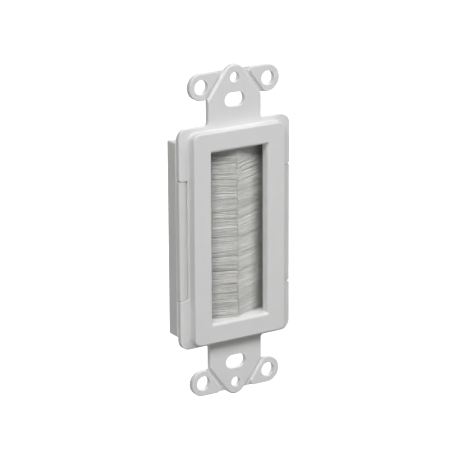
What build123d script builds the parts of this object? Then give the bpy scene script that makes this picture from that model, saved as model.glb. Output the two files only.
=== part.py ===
from build123d import *
import math
import os

# Brush cable insert for a rectangular wall plate, in millimetres.
# X runs across, Z runs up and the front faces -Y. The origin is at the middle of the
# screw pattern, on the rear face of the strap.

# Fixing pattern of the strap
slot_spacing = 83.3  # device screw slots, centre to centre
slot_length = 7.1
slot_width = 4.4
plate_hole_spacing = 96.84  # wall plate screw holes, centre to centre
plate_hole_d = 3.2
ear_hole_spacing_x = 23.56
ear_hole_spacing_z = 93.42
ear_hole_d = 4.6
ear_r = 4.1

# Strap and flange
strap_width = 18.7
strap_shoulder_z = 42.5  # height where the sides turn in towards the tip
tip_r = 3.93
plate_t = 1.55
flange_end_step = 1.35  # flange beyond the bezel, top and bottom
flange_corner_r = 3.0
tab_fillet_r = 0.9  # between strap and flange
edge_break = 0.18  # soft moulded edge on the front of the plate and ears
groove_width = 1.1  # score groove beside each break-off ear
groove_bevel = 0.45  # on the strap's side of the groove
web_t = 0.7  # plastic left under the groove
ear_corner_r = 1.1

# Notches in the long sides of the flange
notch_height = 37.5
notch_depth = 2.95
notch_land = 0.45  # flange left between the notch and the bezel
notch_corner_r = 0.9

# Bezel and window
bezel_width = 32.7
bezel_height = 66.6
bezel_proud = 2.92
bezel_corner_r = 2.3
bezel_draft = 2.0
bezel_edge_r = 0.42
window_width = 19.9
window_height = 53.9
window_corner_r = 0.25
window_edge_r = 0.9
shell_t = 1.6  # front and side walls of the hollow bezel
hollow_cover = 1.0  # how far the housing reaches past the hollow, each end
lip_t = 1.4  # wall around the window
lip_depth = 2.95

# Rear housing
housing_overhang = 0.3  # how far its long walls stand out past the flange, each side
housing_depth = 4.75
housing_end_t = 1.6
housing_end_gap = 0.65  # between its end walls and the sills of the window
housing_back_t = 1.45
housing_corner_r = 0.55
housing_edge_r = 0.3
tab_recess = 0.1  # how far the tabs stay behind the face of the flange
tab_slope_depth = 0.9  # where the tabs start to slope in, behind the flange
tab_groove = 0.9  # between each tab and the floor of its notch
tab_foot = 0.95  # rise of the step at the bottom of that groove
ledge_t = 1.35  # inner ledge under the flange, which the snap catches hook under
ledge_clearance = 0.15
tab_clearance = 0.15
rear_window_margin = 0.4  # rear window is this much larger than the front one, each side
rear_window_corner_r = 1.5

# Strip brushes
channel_depth = 3.2  # along X
channel_thickness = 2.4  # along Y
channel_metal_t = 0.45
channel_bend_r = 0.95
channel_end_gap = 0.2
channel_seat_gap = 0.1
wire_d = 0.9
wire_gap = 0.02
tuft_pitch = 1.22
tuft_kinds = 3  # lengths that the tufts alternate between
tuft_crown = 0.7  # thickness of a tuft at its edge, as a share of its middle
tuft_swell = 0.1  # how much the fullest tufts stand out from the leanest
tuft_end_gap = 0.15
bristle_tilt = 18.0  # bristles lean forward and meet in a ridge
bristle_meeting_gap = 0.05  # each side of the middle
tuft_length_step = 0.35
root_overlap = 0.25  # how far a tuft reaches into the mouth of its channel
root_roundness = 0.9  # of the folded back; 1 is a full half circle
jaw_gap = 0.02  # between the fullest tuft and the jaws of the channel

# Clamp ribs, skirt and snap catches, hidden behind the bezel
skirt_t = 1.3
skirt_end_gap = 0.7
skirt_floor_gap = 0.2
sill_floor_gap = 0.1
clamp_rib_t = 1.2
clamp_rib_inset = 1.5  # how much shorter than the skirt, each end
clamp_gap = 0.05
brace_count = 5
brace_t = 1.0
floor_lip_t = 0.7
floor_lip_rise = 0.4
catch_width = 6.0
catch_reach = 1.15
catch_land = 0.3
catch_clearance = 0.1
catch_ramp = 1.4

# Places worked out from the sizes above
front_y = plate_t + bezel_proud  # bezel front, measured forwards from the strap's rear face
notch_floor_x = bezel_width / 2 + notch_land
flange_width = 2 * (notch_floor_x + notch_depth)
flange_height = bezel_height + 2 * flange_end_step
sill_outer_z = window_height / 2 + lip_t
floor_y = housing_depth - housing_back_t  # inside face of the housing's back wall
housing_width = flange_width + 2 * housing_overhang
housing_inner_x = notch_floor_x + catch_reach + catch_clearance
ledge_inner_x = notch_floor_x + ledge_clearance
tab_inner_x = notch_floor_x + tab_groove
catch_front_y = ledge_t + catch_clearance  # holding face of the snap catches
housing_inner_z = sill_outer_z + housing_end_gap
housing_height = 2 * (housing_inner_z + housing_end_t)
hollow_width = bezel_width - 2 * shell_t
hollow_height = housing_height - 2 * hollow_cover
skirt_outer_x = notch_floor_x
skirt_inner_x = skirt_outer_x - skirt_t
skirt_height = 2 * (housing_inner_z - skirt_end_gap)
clamp_rib_height = skirt_height - 2 * clamp_rib_inset
catch_z = (notch_height + skirt_height) / 4  # midway between the notch and the end of the skirt
channel_outer_x = skirt_inner_x - channel_seat_gap
channel_mouth_x = channel_outer_x - channel_depth
channel_y = floor_y - channel_thickness / 2
channel_length = 2 * (housing_inner_z - channel_end_gap)
pack_thickness = channel_thickness - 2 * channel_metal_t
root_back_r = root_roundness * pack_thickness / 2
wire_x = channel_outer_x - channel_metal_t - pack_thickness / 2
root_length = channel_length - 2 * channel_end_gap
tilt = math.radians(bristle_tilt)
tuft_half = (pack_thickness / 2 - root_overlap * math.tan(tilt) - jaw_gap) * math.cos(tilt)
sides = {"left": -1, "right": 1}


def front_plane(depth):
    """Plane parallel to the wall, this far in front of the strap's rear face."""
    return Plane.XZ.offset(depth)


def is_near(coordinate, distance):
    """Whether a coordinate lies this far from the middle, on either side."""
    return math.isclose(abs(coordinate), distance, abs_tol=0.01)


def shoulder_angle():
    """Slope of the pointed end, as the tangent from the shoulder to the tip's circle."""
    across = strap_width / 2
    rise = plate_hole_spacing / 2 - strap_shoulder_z
    return math.atan2(rise, across) + math.asin(tip_r / math.hypot(across, rise))


def tip_tangent(end):
    """Points where the straight edges meet the round tip, left and right."""
    angle = shoulder_angle()
    x = tip_r * math.sin(angle)
    z = plate_hole_spacing / 2 + tip_r * math.cos(angle)
    return (-x, end * z), (x, end * z)


def add_centre_outline():
    """Strap with its two pointed, round-tipped ends."""
    half = strap_width / 2
    for end in (1, -1):
        left, right = tip_tangent(end)
        shoulder_z = end * strap_shoulder_z
        with BuildLine() as outline:
            Polyline(left, (-half, shoulder_z), (-half, 0), (half, 0), (half, shoulder_z), right)
            ThreePointArc(right, (0, end * (plate_hole_spacing / 2 + tip_r)), left)
        make_face(outline.edges())


def add_ears(inset):
    """Break-off ears, cut straight along the width left free beside the pointed end."""
    angle = shoulder_angle()
    ear_x = ear_hole_spacing_x / 2
    for side in (1, -1):
        for end in (1, -1):
            z = ear_hole_spacing_z / 2
            low, high = z - ear_r, z + ear_r
            foot = (strap_width / 2 + inset / math.sin(angle), strap_shoulder_z)
            top_x = foot[0] - (high - foot[1]) / math.tan(angle)
            low_x = foot[0] - (low - foot[1]) / math.tan(angle)
            corners = [(low_x, low), (ear_x, low), (ear_x, high), (top_x, high)]
            with BuildLine() as outline:
                Polyline([(side * x, end * y) for x, y in corners], close=True)
            make_face(outline.edges())
            with Locations((side * ear_x, end * z)):
                Circle(ear_r)
            below = foot[1] - 2 * ear_r
            corners = [(foot[0] + 2 * ear_r / math.tan(angle), below), (top_x, high), (0, high), (0, below)]
            with BuildLine() as waste:
                Polyline([(side * x, end * y) for x, y in corners], close=True)
            make_face(waste.edges(), mode=Mode.SUBTRACT)


def round_ear_corners(sketch):
    """Small radius on the sharp inner corner of each ear."""
    high = ear_hole_spacing_z / 2 + ear_r
    top = [v for v in sketch.vertices() if is_near(v.Y, high)]
    fillet([v for v in top if abs(v.X) < ear_hole_spacing_x / 2 - ear_corner_r], ear_corner_r)


def flange_with_notches():
    """Flange outline, with a notch in each long side."""
    RectangleRounded(flange_width, flange_height, flange_corner_r)
    for side in (1, -1):
        with Locations((side * (notch_floor_x + notch_depth / 2), 0)):
            Rectangle(notch_depth, notch_height, mode=Mode.SUBTRACT)


def at(vertices, x, z):
    """The corners at these distances from the middle."""
    return [v for v in vertices if is_near(v.X, x) and is_near(v.Y, z)]


def beside_groove(edge):
    """Whether an edge of the strap belongs to one of its pointed ends."""
    return abs(edge.center().Z) > strap_shoulder_z


def front_faces(part):
    """Faces of the plate and the ears that look forwards, smallest first."""
    return part.faces().filter_by_position(Axis.Y, -plate_t, -plate_t).sort_by(SortBy.AREA)


def plate_rim(part):
    """Outline of the strap and flange, the largest of those faces."""
    return front_faces(part)[-1].outer_wire().edges()


with BuildPart() as front_frame:
    # Flange and centre strap, one flat plate
    with BuildSketch(front_plane(0)) as plate:
        flange_with_notches()
        fillet(at(plate.vertices(), flange_width / 2, notch_height / 2), notch_corner_r)
        add_centre_outline()
        fillet(at(plate.vertices(), strap_width / 2, flange_height / 2), tab_fillet_r)
    extrude(amount=plate_t)

    # Thin webs that hold the ears, then the ears themselves at full thickness
    with BuildSketch(front_plane(0)):
        add_ears(0)
    extrude(amount=web_t)
    with BuildSketch(front_plane(0)) as ears:
        add_ears(groove_width)
        round_ear_corners(ears)
    extrude(amount=plate_t)

    # Bevel on the strap beside each groove, and a soft edge on the rest
    chamfer([edge for edge in plate_rim(front_frame) if beside_groove(edge)], groove_bevel)
    chamfer([edge for edge in plate_rim(front_frame) if not beside_groove(edge)], edge_break)
    ears_only = front_faces(front_frame)[:-1]
    chamfer([edge for face in ears_only for edge in face.outer_wire().edges()], edge_break)

    # Bezel, drafted, with soft outer edge
    with BuildSketch(front_plane(plate_t)):
        RectangleRounded(bezel_width, bezel_height, bezel_corner_r)
    extrude(amount=bezel_proud, taper=bezel_draft)
    fillet(front_frame.faces().sort_by(Axis.Y)[0].outer_wire().edges(), bezel_edge_r)

    # Hollow behind the bezel, with the lip of the window left standing
    with BuildSketch(front_plane(0)):
        RectangleRounded(hollow_width, hollow_height, bezel_corner_r / 2)
    extrude(amount=front_y - lip_depth, mode=Mode.SUBTRACT)
    with BuildSketch(front_plane(front_y - lip_depth)):
        RectangleRounded(hollow_width, hollow_height, bezel_corner_r / 2)
        RectangleRounded(window_width + 2 * lip_t, window_height + 2 * lip_t, lip_t, mode=Mode.SUBTRACT)
    extrude(amount=lip_depth - shell_t, mode=Mode.SUBTRACT)

    # Window with its rounded front edge
    with BuildSketch(front_plane(0)):
        RectangleRounded(window_width, window_height, window_corner_r)
    extrude(amount=front_y, mode=Mode.SUBTRACT)
    fillet(front_frame.faces().sort_by(Axis.Y)[0].inner_wires()[0].edges(), window_edge_r)

    # Sills that carry the ends of the window back to the housing
    for end in (1, -1):
        with BuildSketch(front_plane(sill_floor_gap - floor_y)):
            with Locations((0, end * (window_height / 2 + lip_t / 2))):
                Rectangle(window_width + 2 * lip_t, lip_t)
        extrude(amount=floor_y - sill_floor_gap + front_y - lip_depth)

    # Skirts that enter the housing, and the ribs that clamp the brush channels
    for side in (1, -1):
        with BuildSketch(front_plane(skirt_floor_gap - floor_y)):
            with Locations((side * (skirt_inner_x + skirt_t / 2), 0)):
                Rectangle(skirt_t, skirt_height)
        extrude(amount=floor_y - skirt_floor_gap + plate_t / 2)
        rib_x = channel_mouth_x + channel_depth / 2
        rib_start = channel_y - channel_thickness / 2 - clamp_gap
        with BuildSketch(front_plane(-rib_start)):
            with Locations((side * rib_x, 0)):
                Rectangle(clamp_rib_t, clamp_rib_height)
        extrude(amount=rib_start + front_y - shell_t)

        # Braces between each clamp rib and its skirt
        brace_spacing = clamp_rib_height / brace_count
        brace_length = skirt_inner_x + skirt_t / 2 - rib_x
        with BuildSketch(front_plane(0)):
            with GridLocations(brace_length, brace_spacing, 1, brace_count):
                with Locations((side * (rib_x + brace_length / 2), 0)):
                    Rectangle(brace_length, brace_t)
        extrude(amount=front_y - shell_t)

    # Snap catches on the skirts: flat towards the front, ramped towards the back
    for side in (1, -1):
        for z in (catch_z, -catch_z):
            with BuildSketch(Plane.XY.offset(z - catch_width / 2)):
                with BuildLine():
                    Polyline(
                        (side * (skirt_outer_x - skirt_t / 2), catch_front_y),
                        (side * (skirt_outer_x + catch_reach), catch_front_y),
                        (side * (skirt_outer_x + catch_reach), catch_front_y + catch_land),
                        (side * skirt_outer_x, catch_front_y + catch_land + catch_ramp),
                        (side * (skirt_outer_x - skirt_t / 2), catch_front_y + catch_land + catch_ramp),
                        close=True,
                    )
                make_face()
            extrude(amount=catch_width)

    # Screw holes
    with BuildSketch(front_plane(0)):
        with GridLocations(0, plate_hole_spacing, 1, 2):
            Circle(plate_hole_d / 2)
        with GridLocations(0, slot_spacing, 1, 2):
            SlotOverall(slot_length, slot_width)
        with GridLocations(ear_hole_spacing_x, ear_hole_spacing_z, 2, 2):
            Circle(ear_hole_d / 2)
    extrude(amount=plate_t, mode=Mode.SUBTRACT)


with BuildPart() as rear_housing:
    # Box with a soft front edge, and a tab in the middle of each long side
    with BuildSketch(front_plane(-housing_depth)):
        RectangleRounded(housing_width, housing_height, housing_corner_r)
    extrude(amount=housing_depth)
    fillet(rear_housing.faces().sort_by(Axis.Y)[0].edges(), housing_edge_r)
    tab_height = notch_height - 2 * tab_clearance
    tab_front_y = tab_recess - plate_t
    for side in (1, -1):
        with BuildSketch(Plane.XY.offset(-tab_height / 2)):
            with BuildLine():
                Polyline(
                    (side * ledge_inner_x, tab_slope_depth),
                    (side * housing_width / 2, tab_slope_depth),
                    (side * flange_width / 2, tab_front_y + edge_break),
                    (side * (flange_width / 2 - edge_break), tab_front_y),
                    (side * (tab_inner_x + edge_break), tab_front_y),
                    (side * tab_inner_x, tab_front_y + edge_break),
                    (side * tab_inner_x, -tab_foot),
                    (side * ledge_inner_x, -tab_foot),
                    close=True,
                )
            make_face()
        extrude(amount=tab_height)

    # Hollow, with a ledge left along each long wall
    with BuildSketch(front_plane(-floor_y)):
        Rectangle(2 * housing_inner_x, 2 * housing_inner_z)
    extrude(amount=floor_y - ledge_t, mode=Mode.SUBTRACT)
    with BuildSketch(front_plane(-ledge_t)):
        Rectangle(2 * ledge_inner_x, 2 * housing_inner_z)
    extrude(amount=ledge_t, mode=Mode.SUBTRACT)

    # Rear window
    with BuildSketch(front_plane(-housing_depth)):
        opening = [size + 2 * rear_window_margin for size in (window_width, window_height)]
        RectangleRounded(*opening, rear_window_corner_r)
    extrude(amount=housing_back_t, mode=Mode.SUBTRACT)
    back_face = rear_housing.faces().sort_by(Axis.Y)[-1]
    fillet(back_face.outer_wire().edges(), housing_edge_r)
    chamfer(rear_housing.faces().sort_by(Axis.Y)[-1].inner_wires()[0].edges(), edge_break)

    # Floor lips that keep the brush channels from being pulled to the middle
    for side in (1, -1):
        with BuildSketch(front_plane(-floor_y)):
            with Locations((side * (channel_mouth_x - channel_seat_gap - floor_lip_t / 2), 0)):
                Rectangle(floor_lip_t, 2 * housing_inner_z)
        extrude(amount=floor_lip_rise)


def make_channel(side):
    """Folded metal strip, open towards the middle, with a round back."""
    with BuildPart() as channel:
        with BuildSketch(Plane.XY.offset(-channel_length / 2)) as section:
            with Locations((side * (channel_outer_x - channel_depth / 2), channel_y)):
                Rectangle(channel_depth, channel_thickness)
            back = [v for v in section.vertices() if is_near(v.X, channel_outer_x)]
            fillet(back, channel_bend_r)
            inner_depth = channel_depth - channel_metal_t
            with Locations((side * (channel_mouth_x + inner_depth / 2), channel_y)):
                Rectangle(inner_depth, pack_thickness, mode=Mode.SUBTRACT)
        extrude(amount=channel_length)
    return channel.part


def make_wire(side):
    """Core wire that the bristles are folded around."""
    with BuildPart() as wire:
        with BuildSketch(Plane.XY.offset(-root_length / 2)):
            with Locations((side * wire_x, channel_y)):
                Circle(wire_d / 2)
        extrude(amount=root_length)
    return wire.part


def tuft_half_thickness(index):
    """Half thickness of one tuft. The swell repeats unevenly, as loose bristles do."""
    wave = math.sin(2.4 * index) * math.sin(0.9 * index + 0.5)
    return tuft_half - tuft_swell * (0.5 + 0.5 * wave)


def add_tuft(middle, pitch, half):
    """One tuft seen from its end: crowned front and back, straight where it meets its neighbours."""
    edge = half * tuft_crown
    with BuildLine() as outline:
        Polyline(
            (middle - pitch / 2, -edge),
            (middle, -half),
            (middle + pitch / 2, -edge),
            (middle + pitch / 2, edge),
            (middle, half),
            (middle - pitch / 2, edge),
            close=True,
        )
    make_face(outline.edges())


def make_bristles(side):
    """Bristles of one brush: a folded root in the channel and a comb of tufts that leans forward."""
    comb_height = window_height - 2 * tuft_end_gap
    count = int(comb_height / tuft_pitch)
    pitch = comb_height / count
    root_x = channel_mouth_x + root_overlap
    reach = (root_x - bristle_meeting_gap) / math.cos(tilt) + tuft_half
    towards_middle = Vector(-side * math.cos(tilt), -math.sin(tilt), 0)
    root_plane = Plane(origin=(side * root_x, channel_y, 0), x_dir=(0, 0, 1), z_dir=towards_middle)
    with BuildPart() as bristles:
        for kind in range(tuft_kinds):
            with BuildSketch(root_plane):
                for index in range(kind, count, tuft_kinds):
                    add_tuft((index - (count - 1) / 2) * pitch, pitch, tuft_half_thickness(index))
            extrude(amount=reach - kind * tuft_length_step)
        own_side = Keep.TOP if side > 0 else Keep.BOTTOM
        split(bisect_by=Plane.YZ.offset(side * bristle_meeting_gap), keep=own_side)

        # Folded root, round at the back, with room for the wire
        root_depth = channel_outer_x - channel_metal_t - channel_mouth_x
        with BuildSketch(Plane.XY.offset(-root_length / 2)) as root:
            with Locations((side * (channel_mouth_x + root_depth / 2), channel_y)):
                Rectangle(root_depth, pack_thickness)
            back = [v for v in root.vertices() if is_near(v.X, channel_mouth_x + root_depth)]
            fillet(back, root_back_r)
            with Locations((side * wire_x, channel_y)):
                Circle(wire_d / 2 + wire_gap, mode=Mode.SUBTRACT)
        extrude(amount=root_length)
    return bristles.part


pieces = {"front_frame": front_frame.part, "rear_housing": rear_housing.part}
for name, side in sides.items():
    pieces[f"brush_channel_{name}"] = make_channel(side)
    pieces[f"core_wire_{name}"] = make_wire(side)
    pieces[f"bristles_{name}"] = make_bristles(side)

os.makedirs("parts", exist_ok=True)
for name, piece in pieces.items():
    piece.label = name
    export_step(piece, f"parts/{name}.step")
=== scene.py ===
import math

import bpy
from mathutils import Matrix, Vector


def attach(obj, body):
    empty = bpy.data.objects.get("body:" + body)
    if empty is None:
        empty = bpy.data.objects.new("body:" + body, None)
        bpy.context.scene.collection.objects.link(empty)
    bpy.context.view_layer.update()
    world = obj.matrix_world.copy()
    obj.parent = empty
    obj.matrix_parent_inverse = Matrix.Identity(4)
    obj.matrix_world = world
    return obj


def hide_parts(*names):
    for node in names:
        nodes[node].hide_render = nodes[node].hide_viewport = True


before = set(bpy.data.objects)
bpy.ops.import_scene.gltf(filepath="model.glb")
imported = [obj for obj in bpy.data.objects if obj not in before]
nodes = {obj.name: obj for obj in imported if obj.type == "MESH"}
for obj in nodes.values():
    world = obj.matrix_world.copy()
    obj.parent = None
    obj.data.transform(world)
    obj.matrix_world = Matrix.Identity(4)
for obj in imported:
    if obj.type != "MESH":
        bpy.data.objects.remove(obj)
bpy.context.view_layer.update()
scene = bpy.context.scene
mm = 0.001


def linearColour(hexValue):
    # sRGB hex to linear red, green, blue and alpha
    parts = [int(hexValue[i:i + 2], 16) / 255 for i in (0, 2, 4)]
    return [c / 12.92 if c <= 0.04045 else ((c + 0.055) / 1.055) ** 2.4 for c in parts] + [1.0]


def shaded(colour, share):
    # the same linear colour with only a share of its light
    return [c * share for c in colour[:3]] + [1.0]


def addNode(tree, kind, inputs=None, **settings):
    # adds one node; an input is either a value or the socket that feeds it
    node = tree.nodes.new(kind)
    for name, value in settings.items():
        setattr(node, name, value)
    for name, value in (inputs or {}).items():
        socket = node.inputs[name]
        if isinstance(value, bpy.types.NodeSocket):
            tree.links.new(value, socket)
        else:
            socket.default_value = value
    return node


def newMaterial(name):
    material = bpy.data.materials.new(name)
    material.use_nodes = True
    material.node_tree.nodes.clear()
    return material, material.node_tree


# the camera, at the photograph's angle
camera = {
    "yaw": 32.112,  # degrees, seen from the left of the object
    "pitch": 16.859,  # degrees above it
    "roll": -0.298,
    "distance": 713.319,  # mm
    "target": (-2.731, 0.0, 2.398),  # mm
    "lens": 187.742,  # mm
    "sensor": 36.0,  # mm wide
    "nearest": 0.05,  # m, what the camera still sees
    "farthest": 20.0,
}


def makeCamera():
    yaw, pitch, roll = (math.radians(camera[k]) for k in ("yaw", "pitch", "roll"))
    back = Vector((-math.sin(yaw) * math.cos(pitch), -math.cos(yaw) * math.cos(pitch),
                   math.sin(pitch)))
    level = Vector((math.cos(yaw), -math.sin(yaw), 0))
    upright = back.cross(level)
    right = level * math.cos(roll) + upright * math.sin(roll)
    up = upright * math.cos(roll) - level * math.sin(roll)
    place = Vector(camera["target"]) * mm + back * camera["distance"] * mm

    data = bpy.data.cameras.new("camera")
    data.sensor_width = camera["sensor"]
    data.lens = camera["lens"]
    data.clip_start, data.clip_end = camera["nearest"], camera["farthest"]
    eye = bpy.data.objects.new("camera", data)
    turn = Matrix((right, up, back)).transposed().to_4x4()
    eye.matrix_world = Matrix.Translation(place) @ turn
    scene.collection.objects.link(eye)
    scene.camera = eye


makeCamera()
print("camera placed")


# the studio: white surroundings, a pale floor well below the hanging part, soft lamps
studio = {
    "floorDrop": 0.25,  # m below the middle of the part
    "floorSize": 9.0,
    "floorColour": "B4B4B2",
    "floorRoughness": 0.5,
    "floorGlow": 1.0,  # added for the eye only, so that the floor is white and its shadow stays
    "worldWhite": 1.0,  # what the eye, gloss and glass see of the surroundings
    "worldLight": 0.0,  # light that the surroundings give to the part
}

lamps = {
    # place in metres, 1.2 from the part; width and height of the panel; power in watts
    "key": {"place": (0.000, -0.705, 0.971), "size": (1.3, 0.45), "power": 9.7},
    "left": {"place": (-0.724, -0.608, 0.739), "size": (0.5, 0.5), "power": 4.2},
    "right": {"place": (0.608, -0.652, 0.803), "size": (0.5, 0.5), "power": 1.5},
    "behind": {"place": (0.301, 1.125, 0.290), "size": (0.6, 0.6), "power": 7.0},
}

white = (1.0, 1.0, 1.0, 1.0)


def seenDirectly(tree):
    # 1 for rays from the eye and for what mirrors and glass show of the surroundings
    rays = addNode(tree, "ShaderNodeLightPath")
    either = addNode(tree, "ShaderNodeMath", {
        0: rays.outputs["Is Camera Ray"], 1: rays.outputs["Is Glossy Ray"]},
        operation="MAXIMUM")
    return addNode(tree, "ShaderNodeMath", {
        0: either.outputs[0], 1: rays.outputs["Is Transmission Ray"]},
        operation="MAXIMUM").outputs[0]


def makeWorld():
    world = bpy.data.worlds.new("whiteRoom")
    scene.world = world
    world.use_nodes = True
    tree = world.node_tree
    tree.nodes.clear()
    given = addNode(tree, "ShaderNodeBackground", {
        "Color": white, "Strength": studio["worldLight"]})
    shown = addNode(tree, "ShaderNodeBackground", {
        "Color": white, "Strength": studio["worldWhite"]})
    mix = addNode(tree, "ShaderNodeMixShader", {
        0: seenDirectly(tree), 1: given.outputs[0], 2: shown.outputs[0]})
    addNode(tree, "ShaderNodeOutputWorld", {"Surface": mix.outputs[0]})


def makeFloor():
    # matt paint: it keeps the part's shadow, and looks white to the eye
    material, tree = newMaterial("paintedFloor")
    paint = addNode(tree, "ShaderNodeBsdfDiffuse", {
        "Color": linearColour(studio["floorColour"]), "Roughness": studio["floorRoughness"]})
    rays = addNode(tree, "ShaderNodeMath", {
        0: seenDirectly(tree), 1: studio["floorGlow"]}, operation="MULTIPLY")
    glow = addNode(tree, "ShaderNodeEmission", {"Color": white, "Strength": rays.outputs[0]})
    both = addNode(tree, "ShaderNodeAddShader", {0: paint.outputs[0], 1: glow.outputs[0]})
    addNode(tree, "ShaderNodeOutputMaterial", {"Surface": both.outputs[0]})

    half, z = studio["floorSize"] / 2, -studio["floorDrop"]
    corners = [(-half, -half, z), (half, -half, z), (half, half, z), (-half, half, z)]
    mesh = bpy.data.meshes.new("floor")
    mesh.from_pydata(corners, [], [(0, 1, 2, 3)])
    mesh.materials.append(material)
    floor = bpy.data.objects.new("floor", mesh)
    scene.collection.objects.link(floor)


def makeLamps():
    # flat panels that face the middle of the part
    for name, lamp in lamps.items():
        data = bpy.data.lights.new(name, "AREA")
        data.shape = "RECTANGLE"
        data.size, data.size_y = lamp["size"]
        data.energy = lamp["power"]
        panel = bpy.data.objects.new(name, data)
        place = Vector(lamp["place"])
        turn = place.to_track_quat("Z", "Y").to_matrix().to_4x4()
        panel.matrix_world = Matrix.Translation(place) @ turn
        scene.collection.objects.link(panel)


makeWorld()
makeFloor()
makeLamps()
scene.view_settings.view_transform = "Standard"
print("studio lit")


noiseRange = {"From Min": 0.3, "From Max": 0.7}  # where a Noise Texture's values mostly lie

# frame and housing
plastic = {
    "frameColour": "F1F1F1",
    # painted shade: the housing's white is drawn a little greyer and warmer than the frame's, so
    # that its side walls come out darker
    "housingWhiteShaded": "ECECEA",
    "roughness": 0.55,
    "smoother": 0.05,  # how much the roughness falls and rises over the grain
    "rougher": 0.07,
    "ior": 1.48,
    "grain": 0.28,  # mm across, coarser than the real spark-eroded grain so that it shows
    "grainNoise": {"Detail": 2.0, "Roughness": 0.55},
    "grainDepth": 0.006,  # mm
    "grainStrength": 0.5,
    "sink": 9.0,  # mm across, the faint unevenness of a thick moulded wall
    "sinkNoise": {"Detail": 3.0, "Roughness": 0.5},
    "sinkShade": 0.965,  # share of the light that its darkest places give back
    "soak": 0.15,  # share of the light that wanders inside before it comes out
    "soakRadius": 0.6,  # mm
}


def mouldedPlastic(name, colour):
    # white ABS, injection moulded: a fine satin skin with a faintly uneven gloss
    material, tree = newMaterial(name)
    spot = addNode(tree, "ShaderNodeTexCoord")
    grain = addNode(tree, "ShaderNodeTexNoise", {
        "Vector": spot.outputs["Object"], "Scale": 1 / (plastic["grain"] * mm),
        **plastic["grainNoise"]})
    slow = addNode(tree, "ShaderNodeTexNoise", {
        "Vector": spot.outputs["Object"], "Scale": 1 / (plastic["sink"] * mm),
        **plastic["sinkNoise"]})
    full = linearColour(colour)
    tint = addNode(tree, "ShaderNodeMix", {
        "Factor": slow.outputs["Fac"], "A": full, "B": shaded(full, plastic["sinkShade"])},
        data_type="RGBA")
    gloss = addNode(tree, "ShaderNodeMapRange", {
        "Value": grain.outputs["Fac"], **noiseRange,
        "To Min": plastic["roughness"] - plastic["smoother"],
        "To Max": plastic["roughness"] + plastic["rougher"]})
    bump = addNode(tree, "ShaderNodeBump", {
        "Height": grain.outputs["Fac"], "Strength": plastic["grainStrength"],
        "Distance": plastic["grainDepth"] * mm})
    skin = addNode(tree, "ShaderNodeBsdfPrincipled", {
        "Base Color": tint.outputs["Result"], "Roughness": gloss.outputs["Result"],
        "IOR": plastic["ior"], "Subsurface Weight": plastic["soak"],
        "Subsurface Scale": plastic["soakRadius"] * mm, "Subsurface Radius": (1.0, 1.0, 1.0),
        "Normal": bump.outputs["Normal"]})
    addNode(tree, "ShaderNodeOutputMaterial", {"Surface": skin.outputs[0]})
    return material


for nodeName, materialName, colour in (
    ("front_frame", "mouldedAbsFrame", plastic["frameColour"]),
    ("rear_housing", "mouldedAbsHousing", plastic["housingWhiteShaded"]),
):
    nodes[nodeName].data.materials.clear()
    nodes[nodeName].data.materials.append(mouldedPlastic(materialName, colour))
print("plastic done")


# channels and core wires; the lines run along Z and are stretched by lineStretch
metal = {
    "strip": {"colour": "C9CBCC", "roughness": 0.34, "line": 0.35, "lineStretch": 0.04},
    "wire": {"colour": "B9BABB", "roughness": 0.28, "line": 0.12, "lineStretch": 0.03},
    "lineNoise": {"Detail": 3.0, "Roughness": 0.6},
    "lineDepth": 0.01,  # mm
    "lineStrength": 0.4,
    "smoother": 0.06,  # how much the roughness falls and rises over the lines
    "rougher": 0.1,
    "cloud": 4.0,  # mm across, the uneven grey of the zinc
    "cloudNoise": {"Detail": 2.0, "Roughness": 0.5},
    "cloudShade": 0.82,
}


def drawnMetal(name, kind):
    # cold rolled strip or drawn wire, zinc coated: grey, half bright, with fine lines along Z
    material, tree = newMaterial(name)
    spot = addNode(tree, "ShaderNodeTexCoord")
    along = addNode(tree, "ShaderNodeMapping", {
        "Vector": spot.outputs["Object"], "Scale": (1, 1, kind["lineStretch"])})
    lines = addNode(tree, "ShaderNodeTexNoise", {
        "Vector": along.outputs["Vector"], "Scale": 1 / (kind["line"] * mm),
        **metal["lineNoise"]})
    cloud = addNode(tree, "ShaderNodeTexNoise", {
        "Vector": spot.outputs["Object"], "Scale": 1 / (metal["cloud"] * mm),
        **metal["cloudNoise"]})
    full = linearColour(kind["colour"])
    tint = addNode(tree, "ShaderNodeMix", {
        "Factor": cloud.outputs["Fac"], "A": full, "B": shaded(full, metal["cloudShade"])},
        data_type="RGBA")
    gloss = addNode(tree, "ShaderNodeMapRange", {
        "Value": lines.outputs["Fac"], **noiseRange,
        "To Min": kind["roughness"] - metal["smoother"],
        "To Max": kind["roughness"] + metal["rougher"]})
    bump = addNode(tree, "ShaderNodeBump", {
        "Height": lines.outputs["Fac"], "Strength": metal["lineStrength"],
        "Distance": metal["lineDepth"] * mm})
    skin = addNode(tree, "ShaderNodeBsdfPrincipled", {
        "Base Color": tint.outputs["Result"], "Metallic": 1.0,
        "Roughness": gloss.outputs["Result"], "Normal": bump.outputs["Normal"]})
    addNode(tree, "ShaderNodeOutputMaterial", {"Surface": skin.outputs[0]})
    return material


zincStrip = drawnMetal("zincCoatedStrip", metal["strip"])
drawnWire = drawnMetal("drawnSteelWire", metal["wire"])
for side in ("left", "right"):
    for nodeName, material in (("brush_channel_", zincStrip), ("core_wire_", drawnWire)):
        nodes[nodeName + side].data.materials.clear()
        nodes[nodeName + side].data.materials.append(material)
print("metal done")


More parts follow.
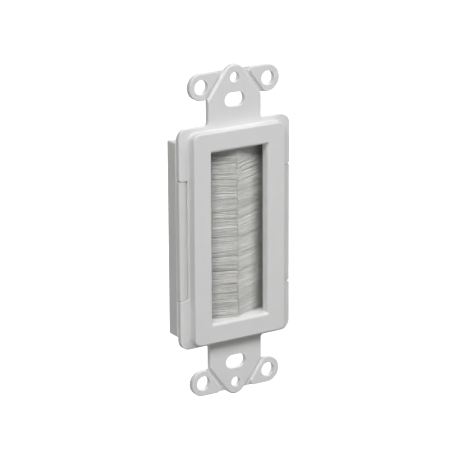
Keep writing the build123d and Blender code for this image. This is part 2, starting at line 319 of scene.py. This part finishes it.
# the two brushes: loose nylon filaments folded into the channels
brush = {
    "count": 3000,  # filaments that show on each side
    "thickness": 0.16,  # mm, each filament
    "flats": 4,  # sides of a filament
    "bends": 7,  # points along a filament
    "taper": 0.75,  # thickness at the cut tip, as a share of the root
    "combHeight": 53.6,  # mm
    "rootX": 12.8,  # mm from the middle, just inside the mouth of the channel
    "rootY": 2.1,
    "packHalf": 0.55,  # mm, half of the pack's thickness
    "tilt": 18.0,  # degrees that the filaments lean forward
    "clump": 3.2,  # mm, width of the clumps that the filaments gather in
    "ridge": 3.2,  # mm, width of the waves in the face of the comb
    "ridgeHeight": 0.24,  # mm
    "layering": 0.35,  # how much both waves change through the pack
    "looseZ": 0.24,  # mm that a single tip strays along Z
    "looseOut": 0.09,  # mm that it strays out of the face
    "loosening": 1.15,  # above 1, a filament strays late along its length
    "strayShare": 0.06,  # share of filaments that stray more
    "strayTimes": 3.0,
    "lengthSpread": 0.55,  # mm between the shortest and the longest
    "seam": 15.0,  # mm, width of the waves in the line where the brushes meet
    "seamWander": 0.3,  # mm that this line strays to each side
    "settle": 4.0,  # mm from each end over which the slant dies out
    # past: mm beyond the middle of the window; lift: mm that the tips stand forward
    # clumpPull: mm that a clump is pulled up or down; slant: mm that the roots sit above the tips
    # the last value is painted shade: how much greyer the whole brush is drawn, the left one
    # darker and the right one lighter because the light falls more on the right brush
    "left": {"side": -1.0, "seed": 11, "past": 0.15, "lift": 0.0, "clumpPull": 0.7,
             "slant": 0.0, "paintedSideShade": 0.3},
    "right": {"side": 1.0, "seed": 42, "past": -0.2, "lift": 0.12, "clumpPull": 0.3,
              "slant": 1.1, "paintedSideShade": -0.1},
}

waves = {
    "ridgeLayer": 7.3,  # sets the ridge's noise apart from the clumps'
    "seedStep": 3.7,  # sets the noise of the two brushes apart
    "middle": 0.5,  # of a noise value, which mostly lies within 0.25 of it
    "stretch": 4.0,  # brings that range to about -1 to 1
    "detail": 1.5,
    "seamDetail": 1.0,
}

# the inputs of the brush tree, named as above
brushCounts = ("count", "flats", "bends", "seed")
brushNumbers = ("side", "tilt", "taper", "layering", "loosening", "strayShare", "strayTimes",
                "paintedSideShade")
brushLengths = ("thickness", "combHeight", "rootX", "rootY", "packHalf", "reach",
                "lengthSpread", "lift", "clump", "clumpPull", "ridge", "ridgeHeight", "looseZ",
                "looseOut", "seam", "seamWander", "slant", "settle")

nylon = {
    "light": "FEFEFC",
    "dark": "D8D7D3",
    "root": "C2C1BD",  # painted shade: darker deep in the brush, where little light gets in between the filaments
    "rootShadeFrom": 0.2,  # share of the length at which this painted shade starts to give way
    "rootShadeTo": 0.58,
    "streak": 1.6,  # mm across, lighter and darker places
    "streakNoise": {"Detail": 2.0, "Roughness": 0.5},
    "roughness": 0.46,
    "ior": 1.53,
    "clear": 0.06,  # share of the light that passes through
}


def nylonFilament():
    # extruded nylon, undyed: milky, half clear, no two filaments quite as light
    material, tree = newMaterial("extrudedNylon")
    # each filament's random lightness, with the painted shade of its brush's side added
    own = addNode(tree, "ShaderNodeAttribute", attribute_name="shade")
    spot = addNode(tree, "ShaderNodeTexCoord")
    streak = addNode(tree, "ShaderNodeTexNoise", {
        "Vector": spot.outputs["Object"], "Scale": 1 / (nylon["streak"] * mm),
        **nylon["streakNoise"]})
    blend = addNode(tree, "ShaderNodeMath", {
        0: own.outputs["Fac"], 1: streak.outputs["Fac"]}, operation="MULTIPLY")
    tint = addNode(tree, "ShaderNodeMix", {
        "Factor": blend.outputs[0], "A": linearColour(nylon["light"]),
        "B": linearColour(nylon["dark"])}, data_type="RGBA")
    # painted shade: the filaments are drawn darker towards their roots, deep in the brush where
    # little light gets in
    along = addNode(tree, "ShaderNodeAttribute", attribute_name="fromRoot")
    rootShadeMask = addNode(tree, "ShaderNodeMapRange", {
        "Value": along.outputs["Fac"], "From Min": nylon["rootShadeFrom"],
        "From Max": nylon["rootShadeTo"]})
    colour = addNode(tree, "ShaderNodeMix", {
        "Factor": rootShadeMask.outputs["Result"], "A": linearColour(nylon["root"]),
        "B": tint.outputs["Result"]}, data_type="RGBA").outputs["Result"]
    skin = addNode(tree, "ShaderNodeBsdfPrincipled", {
        "Base Color": colour, "Roughness": nylon["roughness"], "IOR": nylon["ior"]})
    through = addNode(tree, "ShaderNodeBsdfTranslucent", {"Color": colour})
    mix = addNode(tree, "ShaderNodeMixShader", {
        0: nylon["clear"], 1: skin.outputs[0], 2: through.outputs[0]})
    addNode(tree, "ShaderNodeOutputMaterial", {"Surface": mix.outputs[0]})
    return material


# how a filament is bent: each line gives the name of a new value, the operation and what goes
# in, which is an input of the tree, a value from above or a number. along runs from 0 at the
# root to 1 at the tip, and out is the way through the pack, towards the back where above 0
bending = (
    ("free", "POWER", "along", "loosening"),
    ("isStray", "LESS_THAN", "strayPick", "strayShare"),
    ("strayMore", "SUBTRACT", "strayTimes", 1.0),
    ("wild", "MULTIPLY_ADD", "isStray", "strayMore", 1.0),

    # smooth waves over the root's height, from about -1 to 1
    ("clumpX", "MULTIPLY_ADD", "deep", "layering", 0.0),
    ("ridgeX", "MULTIPLY_ADD", "deep", "layering", waves["ridgeLayer"]),
    ("seedY", "MULTIPLY", "seed", waves["seedStep"]),
    ("clumpZ", "DIVIDE", "rootZ", "clump"),
    ("ridgeZ", "DIVIDE", "rootZ", "ridge"),
    ("seamZ", "DIVIDE", "rootZ", "seam"),
    ("clumpPlace", "place", "clumpX", "seedY", "clumpZ"),
    ("ridgePlace", "place", "ridgeX", "seedY", "ridgeZ"),
    ("seamPlace", "place", 0.0, 0.0, "seamZ"),
    ("clumpNoise", "noise", "clumpPlace", waves["detail"]),
    ("ridgeNoise", "noise", "ridgePlace", waves["detail"]),
    ("seamNoise", "noise", "seamPlace", waves["seamDetail"]),
    ("clumpEven", "SUBTRACT", "clumpNoise", waves["middle"]),
    ("ridgeEven", "SUBTRACT", "ridgeNoise", waves["middle"]),
    ("seamEven", "SUBTRACT", "seamNoise", waves["middle"]),
    ("clumpWave", "MULTIPLY", "clumpEven", waves["stretch"]),
    ("ridgeWave", "MULTIPLY", "ridgeEven", waves["stretch"]),
    ("seamWave", "MULTIPLY", "seamEven", -waves["stretch"]),

    # length: where the seam wanders, one brush is longer and the other shorter
    ("seamShift", "MULTIPLY", "seamWave", "seamWander"),
    ("wander", "MULTIPLY", "seamShift", "side"),
    ("cutSpread", "MULTIPLY", "cut", "lengthSpread"),
    ("cutHalf", "MULTIPLY", "cutSpread", 0.5),
    ("cutLength", "ADD", "reach", "cutHalf"),
    ("length", "ADD", "cutLength", "wander"),
    ("run", "MULTIPLY", "along", "length"),

    # straying up or down, and out of the face of the comb
    ("pull", "MULTIPLY", "clumpWave", "clumpPull"),
    ("strayUp", "MULTIPLY", "strayZ", "looseZ"),
    ("strayUpMore", "MULTIPLY", "strayUp", "wild"),
    ("upAtTip", "ADD", "pull", "strayUpMore"),
    ("moveZ", "MULTIPLY", "free", "upAtTip"),
    ("ridgeOut", "MULTIPLY", "ridgeWave", "ridgeHeight"),
    ("strayAway", "MULTIPLY", "strayOut", "looseOut"),
    ("strayAwayMore", "MULTIPLY", "strayAway", "wild"),
    ("outAtTip", "ADD", "ridgeOut", "strayAwayMore"),
    ("outAlong", "MULTIPLY", "outAtTip", "along"),
    ("depth", "MULTIPLY", "deep", "packHalf"),
    ("outLevel", "ADD", "depth", "outAlong"),
    ("forward", "MULTIPLY", "along", -1.0),
    ("lifted", "MULTIPLY", "lift", "forward"),
    ("out", "ADD", "outLevel", "lifted"),

    # the lean: run and out are turned by the tilt
    ("cosTilt", "COSINE", "tilt"),
    ("sinTilt", "SINE", "tilt"),
    ("runIn", "MULTIPLY", "run", "cosTilt"),
    ("outIn", "MULTIPLY", "out", "sinTilt"),
    ("inward", "ADD", "runIn", "outIn"),
    ("fromMiddle", "SUBTRACT", "rootX", "inward"),
    ("x", "MULTIPLY", "fromMiddle", "side"),
    ("runForward", "MULTIPLY", "run", "sinTilt"),
    ("outBack", "MULTIPLY", "out", "cosTilt"),
    ("yOfRun", "SUBTRACT", "rootY", "runForward"),
    ("y", "ADD", "yOfRun", "outBack"),

    # the sills above and below hold the outermost filaments level and in
    ("top", "MULTIPLY", "combHeight", 0.5),
    ("bottom", "MULTIPLY", "top", -1.0),
    ("rootAway", "ABSOLUTE", "rootZ"),
    ("toSill", "SUBTRACT", "top", "rootAway"),
    ("settling", "DIVIDE", "toSill", "settle"),
    ("settled", "MINIMUM", "settling", 1.0),
    ("slantHere", "MULTIPLY", "slant", "settled"),
    ("toTip", "SUBTRACT", 1.0, "along"),
    ("slanted", "MULTIPLY", "slantHere", "toTip"),
    ("looseHeight", "ADD", "rootZ", "moveZ"),
    ("zFree", "ADD", "looseHeight", "slanted"),
    ("zAbove", "MAXIMUM", "zFree", "bottom"),
    ("z", "MINIMUM", "zAbove", "top"),
    ("bent", "place", "x", "y", "z"),

    # thickness of the tube
    ("radius", "MULTIPLY", "thickness", 0.5),
    ("tipLoss", "SUBTRACT", "taper", 1.0),
    ("narrowing", "MULTIPLY_ADD", "along", "tipLoss", 1.0),
)

# each filament's own random values and the lowest of each range; all go up to 1
draws = {"deep": -1.0, "cut": -1.0, "strayZ": -1.0, "strayOut": -1.0, "strayPick": 0.0,
         "shade": 0.0}


def brushTree():
    tree = bpy.data.node_groups.new("brushFilaments", "GeometryNodeTree")
    tree.interface.new_socket("Geometry", in_out="OUTPUT", socket_type="NodeSocketGeometry")
    for kind, names in (("Int", brushCounts), ("Float", brushNumbers + brushLengths),
                        ("Material", ("material",))):
        for name in names:
            tree.interface.new_socket(name, in_out="INPUT", socket_type="NodeSocket" + kind)
    given = addNode(tree, "NodeGroupInput").outputs
    known = {socket.name: socket for socket in given}

    # one point for each filament, evenly spaced over the height of the comb
    step = addNode(tree, "ShaderNodeMath", {0: known["combHeight"], 1: known["count"]},
                   operation="DIVIDE")
    lowest = addNode(tree, "ShaderNodeMath", {0: known["combHeight"], 1: -0.5},
                     operation="MULTIPLY")
    start = addNode(tree, "ShaderNodeCombineXYZ", {"Z": lowest.outputs[0]})
    offset = addNode(tree, "ShaderNodeCombineXYZ", {"Z": step.outputs[0]})
    points = addNode(tree, "GeometryNodeMeshLine", {
        "Count": known["count"], "Start Location": start.outputs[0],
        "Offset": offset.outputs[0]}).outputs["Mesh"]

    # what stays with each filament: the height of its root and its own random values
    position = addNode(tree, "GeometryNodeInputPosition")
    heights = addNode(tree, "ShaderNodeSeparateXYZ", {0: position.outputs[0]})
    own = {"rootZ": heights.outputs["Z"]}
    for number, (name, low) in enumerate(draws.items(), 1):
        seed = addNode(tree, "ShaderNodeMath", {0: known["seed"], 1: number}, operation="ADD")
        # inputs 2 and 3 are the lowest and the highest float, and output 1 is the float
        own[name] = addNode(tree, "FunctionNodeRandomValue", {
            2: low, 3: 1.0, "Seed": seed.outputs[0]}, data_type="FLOAT").outputs[1]
    # painted shade: each filament's random lightness is raised or lowered by the painted shade of
    # its brush's side
    own["shade"] = addNode(tree, "ShaderNodeMath", {0: own["shade"], 1: known["paintedSideShade"]},
                           operation="ADD").outputs[0]
    for name, value in own.items():
        points = addNode(tree, "GeometryNodeStoreNamedAttribute", {
            "Geometry": points, "Name": name, "Value": value},
            data_type="FLOAT", domain="POINT").outputs["Geometry"]
        known[name] = addNode(tree, "GeometryNodeInputNamedAttribute", {"Name": name},
                              data_type="FLOAT").outputs["Attribute"]

    # a straight filament on each point
    line = addNode(tree, "GeometryNodeCurvePrimitiveLine", {"Start": (0, 0, 0), "End": (1, 0, 0)})
    filament = addNode(tree, "GeometryNodeResampleCurve", {
        "Curve": line.outputs[0], "Count": known["bends"]})
    spread = addNode(tree, "GeometryNodeInstanceOnPoints", {
        "Points": points, "Instance": filament.outputs[0]})
    strands = addNode(tree, "GeometryNodeRealizeInstances", {"Geometry": spread.outputs[0]})
    known["along"] = addNode(tree, "GeometryNodeSplineParameter").outputs["Factor"]
    marked = addNode(tree, "GeometryNodeStoreNamedAttribute", {
        "Geometry": strands.outputs[0], "Name": "fromRoot", "Value": known["along"]},
        data_type="FLOAT", domain="POINT")

    # then all are bent together
    for name, operation, *terms in bending:
        terms = [known[term] if isinstance(term, str) else term for term in terms]
        if operation == "place":
            node = addNode(tree, "ShaderNodeCombineXYZ", dict(zip("XYZ", terms)))
        elif operation == "noise":
            node = addNode(tree, "ShaderNodeTexNoise", {
                "Vector": terms[0], "Scale": 1.0, "Detail": terms[1]})
        else:
            node = addNode(tree, "ShaderNodeMath", dict(enumerate(terms)), operation=operation)
        known[name] = node.outputs[0]
    bent = addNode(tree, "GeometryNodeSetPosition", {
        "Geometry": marked.outputs["Geometry"], "Position": known["bent"]})

    profile = addNode(tree, "GeometryNodeCurvePrimitiveCircle", {
        "Resolution": known["flats"], "Radius": known["radius"]})
    tubes = addNode(tree, "GeometryNodeCurveToMesh", {
        "Curve": bent.outputs[0], "Profile Curve": profile.outputs[0],
        "Scale": known["narrowing"], "Fill Caps": True})
    whole = addNode(tree, "GeometryNodeRealizeInstances", {"Geometry": tubes.outputs[0]})
    smooth = addNode(tree, "GeometryNodeSetShadeSmooth", {"Geometry": whole.outputs[0]})
    dressed = addNode(tree, "GeometryNodeSetMaterial", {
        "Geometry": smooth.outputs[0], "Material": known["material"]})
    addNode(tree, "NodeGroupOutput", {0: dressed.outputs[0]})
    return tree


def makeBrush(name, tree, sizes):
    # the modifier's result becomes a plain mesh, and the helper is thrown away
    helper = bpy.data.objects.new("helper", bpy.data.meshes.new("helper"))
    scene.collection.objects.link(helper)
    modifier = helper.modifiers.new("filaments", "NODES")
    modifier.node_group = tree
    for socket in tree.interface.items_tree:
        if socket.in_out == "INPUT":
            value = sizes[socket.name]
            modifier[socket.identifier] = value * mm if socket.name in brushLengths else value
    helper.update_tag()
    bpy.context.view_layer.update()
    shape = helper.evaluated_get(bpy.context.evaluated_depsgraph_get())
    mesh = bpy.data.meshes.new_from_object(shape)
    mesh.name = name
    bpy.data.objects.remove(helper)
    piece = bpy.data.objects.new(name, mesh)
    scene.collection.objects.link(piece)
    print(name, len(mesh.polygons), "faces")
    return piece


tree = brushTree()
filament = nylonFilament()
for side in ("left", "right"):
    sizes = {**brush, **brush[side], "material": filament}
    sizes["tilt"] = math.radians(brush["tilt"])
    sizes["reach"] = (brush["rootX"] + sizes["past"]) / math.cos(sizes["tilt"])
    piece = makeBrush("filaments_" + side, tree, sizes)
    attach(piece, "root")
    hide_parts("bristles_" + side)
print("brushes done")
